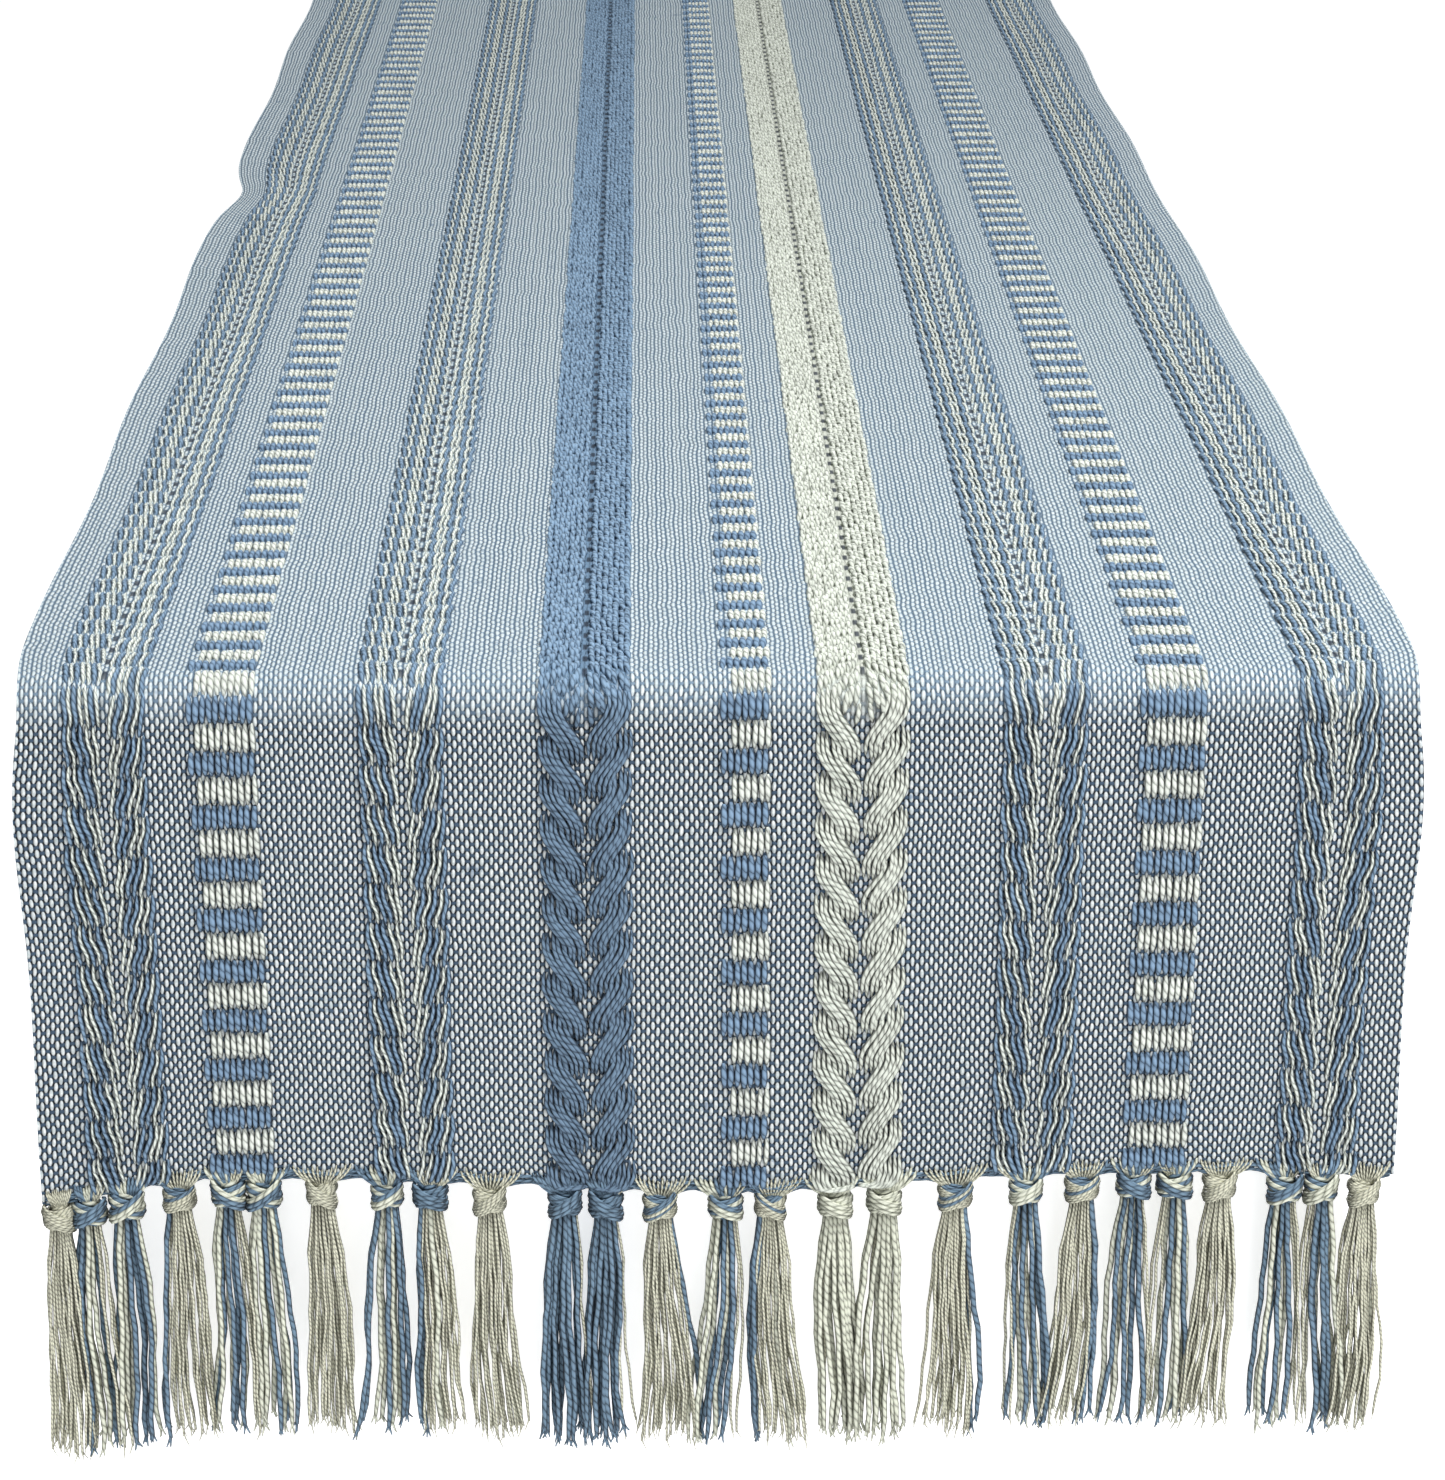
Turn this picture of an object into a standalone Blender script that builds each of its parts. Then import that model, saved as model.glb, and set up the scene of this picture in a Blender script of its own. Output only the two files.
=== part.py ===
"""A woven table runner lying on a table, its two ends hanging over the edges.

Metres, +Z up. The origin is the middle of the underside of the flat top. The runner is long in Y,
its front end is at -Y, and the front drop hangs towards -Z. Everything soft is a plain closed solid.
"""

import math

import bmesh
import bpy
from mathutils import Matrix

# The cloth.
CLOTH_WIDTH = 0.381
CLOTH_LENGTH = 1.83  # along the cloth, without the tassels
CLOTH_THICK = 0.0012
BEND_RADIUS = 0.008  # inside of the bend over the table's edge
DROP_LENGTH = 0.142  # straight cloth below the bend

# The stripes: (name, centre as a share of the width from the left edge, kind, yarn colour).
STRIPES = (
    ("left_outer_wave", 0.064, "wave", "mixed_yarn"),
    ("left_wide_check", 0.150, "wide_check", "check_yarn"),
    ("left_inner_wave", 0.274, "wave", "mixed_yarn"),
    ("blue_braid", 0.404, "braid", "blue_yarn"),
    ("narrow_check", 0.522, "narrow_check", "check_yarn"),
    ("cream_braid", 0.601, "braid", "cream_yarn"),
    ("right_inner_wave", 0.731, "wave", "mixed_yarn"),
    ("right_wide_check", 0.824, "wide_check", "check_yarn"),
    ("right_outer_wave", 0.942, "wave", "mixed_yarn"),
)
# Each kind of stripe: (width, height, number of chains side by side).
STRIPE_KINDS = {
    "wave": (0.0222, 0.0018, 2),
    "braid": (0.0250, 0.0024, 2),
    "wide_check": (0.0185, 0.0013, 1),
    "narrow_check": (0.0125, 0.0013, 1),
}
VALLEY_SHARE = 0.35  # height left between two chains, as a share of the stripe's height
HUMP_POINTS = 5  # points on the crown of one chain

# The fringe. A tassel hangs at an offset from the middle between two stripes, or from one stripe.
# Each group of tassels on one length of hem cord is one piece.
KNOT_RADIUS = 0.0047
SKIRT_RADIUS = 0.005
NECK_RADIUS = 0.0031
TASSEL_LENGTH = 0.080  # from the top of the knot to the ends of the strands
HEM_CORD_RADIUS = 0.0012
TASSEL_SIDES = 8
FRINGE_GROUPS = (
    ("tassels_left_edge", "cream_yarn", (
        ("left_outer_wave", "left_outer_wave", -0.0207),
        ("left_outer_wave", "left_outer_wave", -0.0122),
        ("left_outer_wave", "left_outer_wave", -0.0017))),
    ("tassels_left_check", "mixed_yarn", (
        ("left_outer_wave", "left_wide_check", -0.0031),
        ("left_wide_check", "left_wide_check", -0.0054),
        ("left_wide_check", "left_wide_check", 0.0043))),
    ("tassel_ground_1", "cream_yarn", (
        ("left_wide_check", "left_inner_wave", -0.0029),)),
    ("tassels_left_wave", "mixed_yarn", (
        ("left_inner_wave", "left_inner_wave", -0.0081),
        ("left_inner_wave", "left_inner_wave", 0.0041))),
    ("tassel_ground_2", "cream_yarn", (
        ("left_inner_wave", "blue_braid", -0.0040),)),
    ("tassels_blue_braid", "blue_yarn", (
        ("blue_braid", "blue_braid", -0.0074),
        ("blue_braid", "blue_braid", 0.0042))),
    ("tassel_ground_3", "cream_yarn", (
        ("blue_braid", "narrow_check", -0.0030),)),
    ("tassels_narrow_check", "mixed_yarn", (
        ("narrow_check", "narrow_check", -0.0068),
        ("narrow_check", "narrow_check", 0.0059))),
    ("tassels_cream_braid", "cream_yarn", (
        ("cream_braid", "cream_braid", -0.0058),
        ("cream_braid", "cream_braid", 0.0081))),
    ("tassel_ground_4", "cream_yarn", (
        ("cream_braid", "right_inner_wave", 0.0035),)),
    ("tassels_right_wave", "mixed_yarn", (
        ("right_inner_wave", "right_inner_wave", -0.0012),
        ("right_inner_wave", "right_wide_check", -0.0030))),
    ("tassels_right_check", "mixed_yarn", (
        ("right_wide_check", "right_wide_check", -0.0060),
        ("right_wide_check", "right_wide_check", 0.0056))),
    ("tassel_ground_5", "cream_yarn", (
        ("right_wide_check", "right_wide_check", 0.0184),)),
    ("tassels_right_edge", "mixed_yarn", (
        ("right_outer_wave", "right_outer_wave", -0.0079),
        ("right_outer_wave", "right_outer_wave", 0.0023),
        ("right_outer_wave", "right_outer_wave", 0.0147))),
)

# Clearances.
GAP = 0.0003  # between pieces that lie against each other
SWING_CLEARANCE = 0.0001  # between a lifted drop and the stripes of the bend
CORD_INSET = 0.0008  # from the cloth's side edge to the end of the hem cord

# Worked out from the values above.
MID_RADIUS = BEND_RADIUS + CLOTH_THICK / 2
TOP_LENGTH = CLOTH_LENGTH - 2 * (MID_RADIUS * math.pi / 2 + DROP_LENGTH)
TALLEST_STRIPE = max(height for _, height, _ in STRIPE_KINDS.values())
RIB_REACH = CLOTH_THICK / 2 + GAP + TALLEST_STRIPE
BEND_CENTRE_Y = TOP_LENGTH / 2 + GAP
HINGE_Y = BEND_CENTRE_Y + MID_RADIUS
HINGE_Z = CLOTH_THICK / 2
DROP_TOP_Z = HINGE_Z - math.hypot(RIB_REACH, MID_RADIUS) - SWING_CLEARANCE
HEM_Z = DROP_TOP_Z - DROP_LENGTH
KNOT_Z = HEM_Z - GAP - KNOT_RADIUS
BEND_STEPS = 6

COLOURS = {
    "ground_weave": ((0.33, 0.42, 0.48, 1), 0.9),
    "blue_yarn": ((0.13, 0.24, 0.37, 1), 0.85),
    "cream_yarn": ((0.68, 0.72, 0.62, 1), 0.85),
    "mixed_yarn": ((0.36, 0.44, 0.50, 1), 0.85),
    "check_yarn": ((0.42, 0.50, 0.56, 1), 0.85),
}


def clear_scene():
    for old in list(bpy.data.objects):
        bpy.data.objects.remove(old)


def material(name):
    found = bpy.data.materials.get(name)
    if found:
        return found
    colour, roughness = COLOURS[name]
    made = bpy.data.materials.new(name)
    made.use_nodes = True
    shader = made.node_tree.nodes["Principled BSDF"]
    shader.inputs["Base Color"].default_value = colour
    shader.inputs["Roughness"].default_value = roughness
    shader.inputs["Metallic"].default_value = 0
    return made


def new_object(name, data, collection, slot):
    data.materials.append(material(slot))
    made = bpy.data.objects.new(name, data)
    collection.objects.link(made)
    return made


def hinge_at(name, side):
    """The empty on the axis that a drop lifts about. The back end mirrors the front one in Y."""
    made = bpy.data.objects.new(name, None)
    made.location = (0, side * HINGE_Y, HINGE_Z)
    made.scale.y = -side
    runner.objects.link(made)
    return made


def box(name, size, centre, parent):
    """A block of cloth of this size."""
    bm = bmesh.new()
    bmesh.ops.create_cube(bm, size=1)
    bmesh.ops.scale(bm, vec=size, verts=bm.verts)
    mesh = bpy.data.meshes.new(name)
    bm.to_mesh(mesh)
    bm.free()
    made = new_object(name, mesh, runner, "ground_weave")
    made.location = centre
    made.parent = parent
    return made


def stripe_outline(kind):
    """(across, up) points over the crown of one stripe, from its left foot to its right foot."""
    width, height, chains = STRIPE_KINDS[kind]
    chain_width = width / chains
    points = [(-width / 2, 0)]
    for chain in range(chains):
        centre = -width / 2 + chain_width * (chain + 0.5)
        for step in range(HUMP_POINTS):
            turn = math.pi * (step + 0.5) / HUMP_POINTS
            rise = VALLEY_SHARE + (1 - VALLEY_SHARE) * math.sin(turn)
            points.append((centre - chain_width * 0.46 * math.cos(turn), height * rise))
    return points + [(width / 2, 0)]


def stripe_x(share):
    return (share - 0.5) * CLOTH_WIDTH


def extruded_stripe(name, kind, length, slot, parent):
    """A stripe as a closed bar of its outline, standing along its own Z."""
    outline = bpy.data.curves.new(name, "CURVE")
    outline.dimensions = "2D"
    outline.fill_mode = "BOTH"
    outline.extrude = length / 2
    spline = outline.splines.new("POLY")
    points = stripe_outline(kind)
    spline.points.add(len(points) - 1)
    for point, (across, up) in zip(spline.points, points):
        point.co = (across, up, 0, 1)
    spline.use_cyclic_u = True
    made = new_object(name, outline, runner, slot)
    made.parent = parent
    return made


def add_top():
    box("top_cloth", (CLOTH_WIDTH, TOP_LENGTH, CLOTH_THICK), (0, 0, CLOTH_THICK / 2), None)
    for name, share, kind, slot in STRIPES:
        made = extruded_stripe("top_" + name, kind, TOP_LENGTH, slot, None)
        made.rotation_euler.x = math.pi / 2
        made.location = (stripe_x(share), 0, CLOTH_THICK + GAP)


def add_bend(name, parent):
    """The cloth and the stripes on it, turned a quarter of the way round over the table's edge."""
    points = [(CLOTH_WIDTH / 2, 0), (CLOTH_WIDTH / 2, CLOTH_THICK)]
    for _, share, kind, _ in reversed(STRIPES):
        crown = [(x, z + GAP if z else 0) for x, z in reversed(stripe_outline(kind))]
        points += [(stripe_x(share) + x, CLOTH_THICK + z) for x, z in crown]
    points += [(-CLOTH_WIDTH / 2, CLOTH_THICK), (-CLOTH_WIDTH / 2, 0)]
    bm = bmesh.new()
    section = bm.faces.new([bm.verts.new((x, 0, BEND_RADIUS + z)) for x, z in points])
    start = bmesh.ops.duplicate(bm, geom=[section])["geom"]
    bmesh.ops.spin(
        bm, geom=start, cent=(0, 0, 0), axis=(1, 0, 0), angle=math.pi / 2,
        steps=BEND_STEPS, use_duplicate=False)
    bmesh.ops.remove_doubles(bm, verts=bm.verts, dist=1e-6)
    bmesh.ops.recalc_face_normals(bm, faces=bm.faces)
    mesh = bpy.data.meshes.new(name)
    bm.to_mesh(mesh)
    bm.free()
    made = new_object(name, mesh, runner, "ground_weave")
    made.location = (0, -(BEND_CENTRE_Y - HINGE_Y), -BEND_RADIUS - HINGE_Z)
    made.parent = parent
    return made


def add_drop(end, hinge):
    """The hanging cloth and its stripes, placed from the hinge at the table's edge."""
    middle = (DROP_TOP_Z + HEM_Z) / 2 - HINGE_Z
    box(end + "_cloth", (CLOTH_WIDTH, CLOTH_THICK, DROP_LENGTH), (0, 0, middle), hinge)
    for name, share, kind, slot in STRIPES:
        made = extruded_stripe(end + "_" + name, kind, DROP_LENGTH, slot, hinge)
        made.location = (stripe_x(share), -(CLOTH_THICK / 2 + GAP), middle)
        made.scale.y = -1


def tassel_profile():
    """(radius, height) points down the outside of a tassel, with its knot's centre at height 0."""
    points = [(0, KNOT_RADIUS)]
    for degrees in (45, 90):
        turn = math.radians(degrees)
        points.append((KNOT_RADIUS * math.sin(turn), KNOT_RADIUS * math.cos(turn)))
    end = KNOT_RADIUS - TASSEL_LENGTH
    points.append((NECK_RADIUS, -KNOT_RADIUS))
    points.append((SKIRT_RADIUS, end * 0.6))
    points.append((SKIRT_RADIUS, end))
    return points + [(0, end)]


def tassel_mesh():
    """The turned knot and skirt, as one closed mesh."""
    mesh = bpy.data.meshes.new("tassel_profile")
    points = tassel_profile()
    edges = [(i, i + 1) for i in range(len(points) - 1)]
    mesh.from_pydata([(radius, 0, height) for radius, height in points], edges, [])
    turned = bpy.data.objects.new("tassel_profile", mesh)
    cutters.objects.link(turned)
    screw = turned.modifiers.new("turn", "SCREW")
    screw.steps = TASSEL_SIDES
    screw.render_steps = TASSEL_SIDES
    screw.use_merge_vertices = True
    screw.merge_threshold = 0.0001
    bpy.context.view_layer.update()
    graph = bpy.context.evaluated_depsgraph_get()
    made = bpy.data.meshes.new_from_object(turned.evaluated_get(graph))
    bpy.data.objects.remove(turned)
    return made


def stripe_share(name):
    return next(share for stripe, share, _, _ in STRIPES if stripe == name)


def tassel_x(first, second, offset):
    return stripe_x((stripe_share(first) + stripe_share(second)) / 2) + offset


def add_fringe(end, tassel, hinge):
    """Each group of tassels round its length of hem cord, on an empty at its swing axis."""
    places = [[tassel_x(*tassel_at) for tassel_at in group] for _, _, group in FRINGE_GROUPS]
    for number, (name, slot, _) in enumerate(FRINGE_GROUPS):
        # The cord's flats face the knots' corners, so that the two shapes cross cleanly.
        lying = Matrix.Rotation(math.pi / 2, 4, "Y") @ Matrix.Rotation(math.pi / TASSEL_SIDES, 4, "Z")
        left = -CLOTH_WIDTH / 2 + CORD_INSET
        right = CLOTH_WIDTH / 2 - CORD_INSET
        if number > 0:
            left = (places[number - 1][-1] + places[number][0] + GAP) / 2
        if number < len(places) - 1:
            right = (places[number][-1] + places[number + 1][0] - GAP) / 2
        bm = bmesh.new()
        bmesh.ops.create_cone(
            bm, cap_ends=True, segments=TASSEL_SIDES, radius1=HEM_CORD_RADIUS,
            radius2=HEM_CORD_RADIUS, depth=right - left, matrix=lying)
        mesh = bpy.data.meshes.new(end + "_" + name)
        bm.to_mesh(mesh)
        bm.free()
        group = new_object(end + "_" + name, mesh, runner, slot)
        group.location = ((left + right) / 2, 0, KNOT_Z - HINGE_Z)
        group.parent = hinge
        for count, x in enumerate(places[number]):
            shape = bpy.data.objects.new(f"{end}_{name}_tassel_{count}", tassel)
            cutters.objects.link(shape)
            shape.hide_render = True
            shape.display_type = "WIRE"
            shape.location = (x - group.location.x, 0, 0)
            shape.parent = group
            joined = group.modifiers.new("tassel", "BOOLEAN")
            joined.operation = "UNION"
            joined.solver = "EXACT"
            joined.object = shape


def add_end(end, side, tassel):
    """One end of the runner, its side -1 at the front and 1 at the back."""
    hinge = hinge_at(end + "_hinge", side)
    add_bend(end + "_bend", hinge)
    add_drop(end + "_drop", hinge)
    add_fringe(end, tassel, hinge)


clear_scene()
runner = bpy.data.collections.new("table_runner")
cutters = bpy.data.collections.new("cutters")
bpy.context.scene.collection.children.link(runner)
bpy.context.scene.collection.children.link(cutters)
knotted_tassel = tassel_mesh()
add_top()
add_end("front", -1, knotted_tassel)
add_end("back", 1, knotted_tassel)
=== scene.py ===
import math

import bmesh
import bpy
import numpy as np
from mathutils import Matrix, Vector


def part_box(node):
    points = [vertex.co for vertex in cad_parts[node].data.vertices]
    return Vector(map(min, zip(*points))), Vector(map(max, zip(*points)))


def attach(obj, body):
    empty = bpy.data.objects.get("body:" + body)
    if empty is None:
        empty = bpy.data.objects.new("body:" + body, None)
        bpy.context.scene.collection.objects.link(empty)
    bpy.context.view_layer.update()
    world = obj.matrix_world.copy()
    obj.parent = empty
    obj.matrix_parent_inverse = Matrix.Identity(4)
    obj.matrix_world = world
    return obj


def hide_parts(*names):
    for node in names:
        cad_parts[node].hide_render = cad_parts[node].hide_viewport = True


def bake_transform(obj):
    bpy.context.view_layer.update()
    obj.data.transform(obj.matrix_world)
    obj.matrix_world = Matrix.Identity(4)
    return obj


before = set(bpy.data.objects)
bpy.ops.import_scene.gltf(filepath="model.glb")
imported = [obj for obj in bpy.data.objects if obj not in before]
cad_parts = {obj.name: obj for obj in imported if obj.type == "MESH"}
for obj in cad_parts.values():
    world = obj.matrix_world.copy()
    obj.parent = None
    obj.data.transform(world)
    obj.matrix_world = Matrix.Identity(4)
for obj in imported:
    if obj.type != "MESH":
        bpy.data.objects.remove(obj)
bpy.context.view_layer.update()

# ---------------------------------------------------------------------------------------------
# The ground cloth. A plain weave of cream cotton warp and blue weft, woven in one length, laid
# flat on the table and bent over both of its ends. It is two sheets that meet under the stripes
# at the middle.

_, top_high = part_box("top_cloth")
drop_low, drop_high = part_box("front_drop_cloth")
bend_low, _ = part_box("front_bend")
CLOTH_THICK = top_high.z
HALF_WIDTH = top_high.x
SURFACE = CLOTH_THICK / 2  # from the middle of the cloth's thickness to its face
DROP_Y = -(drop_low.y + drop_high.y) / 2
HEM_Z = drop_low.z
BEND_Z = bend_low.z
BEND_RADIUS = SURFACE - BEND_Z
HANG = BEND_Z - HEM_Z  # straight cloth below the bend
ARC = BEND_RADIUS * math.pi / 2
HALF_LENGTH = HANG + ARC + DROP_Y - BEND_RADIUS
LENGTH = 2 * HALF_LENGTH
ENDS = (("front", -1), ("back", 1))

STRIPE_CENTRES = {
    "left_outer_wave": 0.064,
    "left_wide_check": 0.150,
    "left_inner_wave": 0.274,
    "blue_braid": 0.404,
    "narrow_check": 0.522,
    "cream_braid": 0.601,
    "right_inner_wave": 0.731,
    "right_wide_check": 0.824,
    "right_outer_wave": 0.942,
}
TASSELS = (
    # (group, stripe on one side, stripe on the other, offset, (blue, cream, fine) yarns)
    ("tassels_left_edge", "left_outer_wave", "left_outer_wave", -0.0207, (0, 0, 28)),
    ("tassels_left_edge", "left_outer_wave", "left_outer_wave", -0.0122, (4, 3, 4)),
    ("tassels_left_edge", "left_outer_wave", "left_outer_wave", -0.0017, (5, 4, 0)),
    ("tassels_left_check", "left_outer_wave", "left_wide_check", -0.0031, (2, 0, 23)),
    ("tassels_left_check", "left_wide_check", "left_wide_check", -0.0054, (4, 4, 4)),
    ("tassels_left_check", "left_wide_check", "left_wide_check", 0.0043, (3, 6, 0)),
    ("tassel_ground_1", "left_wide_check", "left_inner_wave", -0.0029, (0, 0, 30)),
    ("tassels_left_wave", "left_inner_wave", "left_inner_wave", -0.0081, (5, 4, 0)),
    ("tassels_left_wave", "left_inner_wave", "left_inner_wave", 0.0041, (3, 2, 16)),
    ("tassel_ground_2", "left_inner_wave", "blue_braid", -0.0040, (0, 0, 30)),
    ("tassels_blue_braid", "blue_braid", "blue_braid", -0.0074, (14, 0, 1)),
    ("tassels_blue_braid", "blue_braid", "blue_braid", 0.0042, (14, 0, 2)),
    ("tassel_ground_3", "blue_braid", "narrow_check", -0.0030, (1, 0, 27)),
    ("tassels_narrow_check", "narrow_check", "narrow_check", -0.0068, (4, 4, 2)),
    ("tassels_narrow_check", "narrow_check", "narrow_check", 0.0059, (3, 1, 21)),
    ("tassels_cream_braid", "cream_braid", "cream_braid", -0.0058, (0, 13, 2)),
    ("tassels_cream_braid", "cream_braid", "cream_braid", 0.0081, (0, 13, 2)),
    ("tassel_ground_4", "cream_braid", "right_inner_wave", 0.0035, (2, 0, 27)),
    ("tassels_right_wave", "right_inner_wave", "right_inner_wave", -0.0012, (5, 4, 2)),
    ("tassels_right_wave", "right_inner_wave", "right_wide_check", -0.0030, (3, 0, 21)),
    ("tassels_right_check", "right_wide_check", "right_wide_check", -0.0060, (4, 4, 3)),
    ("tassels_right_check", "right_wide_check", "right_wide_check", 0.0056, (3, 4, 3)),
    ("tassel_ground_5", "right_wide_check", "right_wide_check", 0.0184, (0, 0, 30)),
    ("tassels_right_edge", "right_outer_wave", "right_outer_wave", -0.0079, (4, 4, 3)),
    ("tassels_right_edge", "right_outer_wave", "right_outer_wave", 0.0023, (4, 3, 4)),
    ("tassels_right_edge", "right_outer_wave", "right_outer_wave", 0.0147, (0, 1, 27)),
)


def stripe_x(name):
    return (STRIPE_CENTRES[name] - 0.5) * 2 * HALF_WIDTH


def tassel_x(stripe, other, offset):
    return (stripe_x(stripe) + stripe_x(other)) / 2 + offset


knots_x = np.array([tassel_x(*tassel[1:4]) for tassel in TASSELS])
LOBE_PITCH = 0.0117  # of the braids and the waves, along the cloth
HEM_DIP = 0.0028  # how far the hem hangs lower at the middle and the corners than between them
HEM_DIP_PITCH = 0.250
CORNER_DROP = 0.0045  # the left corner of the front hem hangs lower still
SCALLOP = 0.0013  # how far the hem rides up between the knots
EDGE_SHARE = 0.28  # of half the width, which the selvedges' own changes reach into
SIDE_SWING = 0.0024  # the side edges swing out below the bend, and draw in on it
SWING_OUT = (0.035, 0.030)  # how far below the bend, and over how long a stretch
SWING_IN = (-0.004, 0.016)
SWING_IN_SHARE = 0.8
NOTCH = 0.0055  # the left selvedge draws in for a short stretch on the top
NOTCH_ALONG = 0.715
NOTCH_REACH = 0.030
SELVEDGE_WAVER = 0.0009
WAVER_RATE = 31  # radians to a metre, as the other rates are
DROP_RIPPLE = 0.0012
DROP_RIPPLE_RATES = (55, 23)
TOP_RIPPLE = 0.0004
TOP_RIPPLE_RATES = (37, 9, 21)
SCALLOP_HIGH = 0.013  # how far up the cloth the scallops fade out
HALF_TASSEL_PITCH = 0.0078


def hump(where, middle, reach):
    """A smooth rise from 0 to 1 and back round one place."""
    return np.exp(-(((where - middle) / reach) ** 2))


def drape(x, along, out):
    """Where points of the flat runner lie once it is draped.

    x is across, along runs from the front hem to the back hem, and out stands off the cloth.
    """
    x, along, out = (np.asarray(part, float) for part in np.broadcast_arrays(x, along, out))
    side = np.where(along < HALF_LENGTH, -1.0, 1.0)
    near = np.minimum(along, LENGTH - along)
    turn = np.clip((near - HANG) / BEND_RADIUS, 0, math.pi / 2)
    flat = np.maximum(near - HANG - ARC, 0)
    hanging = np.clip(1 - near / HANG, 0, 1)
    notch = NOTCH * hump(along, NOTCH_ALONG, NOTCH_REACH)
    edge = np.clip((np.abs(x) / HALF_WIDTH - 1 + EDGE_SHARE) / EDGE_SHARE, 0, 1) ** 2
    waver = SELVEDGE_WAVER * np.sin(along * WAVER_RATE + 1.7 * np.sign(x)) * edge
    below = HANG - near
    swing = hump(below, *SWING_OUT) - SWING_IN_SHARE * hump(below, *SWING_IN)
    moved_x = x + waver + notch * edge * (x < 0) + SIDE_SWING * swing * edge * np.sign(x)
    fast, slow = DROP_RIPPLE_RATES
    ripple = DROP_RIPPLE * hanging * (1 + np.sin(x * fast + 0.8)) / 2
    ripple = ripple * (1 + 0.5 * np.sin(x * slow))
    across_rate, slant_rate, along_rate = TOP_RIPPLE_RATES
    top_wave = np.sin(x * across_rate + along * slant_rate) * np.sin(along * along_rate)
    ripple = ripple + TOP_RIPPLE * (1 + top_wave) / 2
    dip = HEM_DIP * np.cos(2 * math.pi * x / HEM_DIP_PITCH)
    dip = dip + CORNER_DROP * np.clip(-x / HALF_WIDTH - 0.75, 0, 1) * 4 * (side < 0)
    apart = np.clip(np.abs(x[..., None] - knots_x).min(axis=-1) / HALF_TASSEL_PITCH, 0, 1)
    scallop = SCALLOP * apart ** 1.6 * np.clip(1 - near / SCALLOP_HIGH, 0, 1) ** 1.3
    radius = BEND_RADIUS + out + ripple
    y = side * (DROP_Y - BEND_RADIUS + radius * np.cos(turn) - flat)
    z = BEND_Z + radius * np.sin(turn) + np.minimum(near - HANG, 0) - dip * hanging ** 2 + scallop
    return np.stack([moved_x, y, z], axis=-1)


class Socket:
    """A node's output. Sums and products of these, and of numbers, add Math nodes."""

    def __init__(self, finish, output):
        self.finish = finish
        self.output = output

    def math(self, operation, *others):
        made = self.finish.node("Math", {"operation": operation}, dict(enumerate((self, *others))))
        return made.out()

    def __add__(self, other):
        return self.math("ADD", other)

    def __sub__(self, other):
        return self.math("SUBTRACT", other)

    def __rsub__(self, other):
        return (self * -1).math("ADD", other)

    def __mul__(self, other):
        return self.math("MULTIPLY", other)

    def __truediv__(self, other):
        return self.math("DIVIDE", other)

    def __pow__(self, other):
        return self.math("POWER", other)

    __radd__ = __add__
    __rmul__ = __mul__


class Step:
    """A node in a finish, whose outputs are sockets."""

    def __init__(self, finish, made):
        self.finish = finish
        self.made = made

    def out(self, name=0):
        return Socket(self.finish, self.made.outputs[name])


class Finish:
    """A material, built node by node round its Principled shader."""

    def __init__(self, name):
        self.material = bpy.data.materials.new(name)
        self.material.use_nodes = True
        self.tree = self.material.node_tree
        self.shader = self.tree.nodes["Principled BSDF"]

    def plug(self, socket, value):
        if isinstance(value, Socket):
            self.tree.links.new(value.output, socket)
        else:
            socket.default_value = value

    def node(self, kind, settings, inputs):
        made = self.tree.nodes.new("ShaderNode" + kind)
        for setting, value in settings.items():
            setattr(made, setting, value)
        for socket, value in inputs.items():
            self.plug(made.inputs[socket], value)
        return Step(self, made)

    def mix(self, share, first, second):
        made = self.node("Mix", {"data_type": "RGBA"}, {"Factor": share})
        self.plug(made.made.inputs[6], first)
        self.plug(made.made.inputs[7], second)
        return made.out(2)

    def clamp(self, value):
        return self.node("Clamp", {}, {"Value": value}).out()

    def noise(self, vector, scale, detail):
        inputs = {"Vector": vector, "Scale": scale, "Detail": detail}
        return self.node("TexNoise", {}, inputs).out("Fac")

    def surface(self, **inputs):
        for socket, value in inputs.items():
            self.plug(self.shader.inputs[socket.replace("_", " ")], value)

    def bump(self, height, distance, strength):
        inputs = {"Height": height, "Distance": distance, "Strength": strength}
        self.surface(Normal=self.node("Bump", {}, inputs).out("Normal"))


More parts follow.
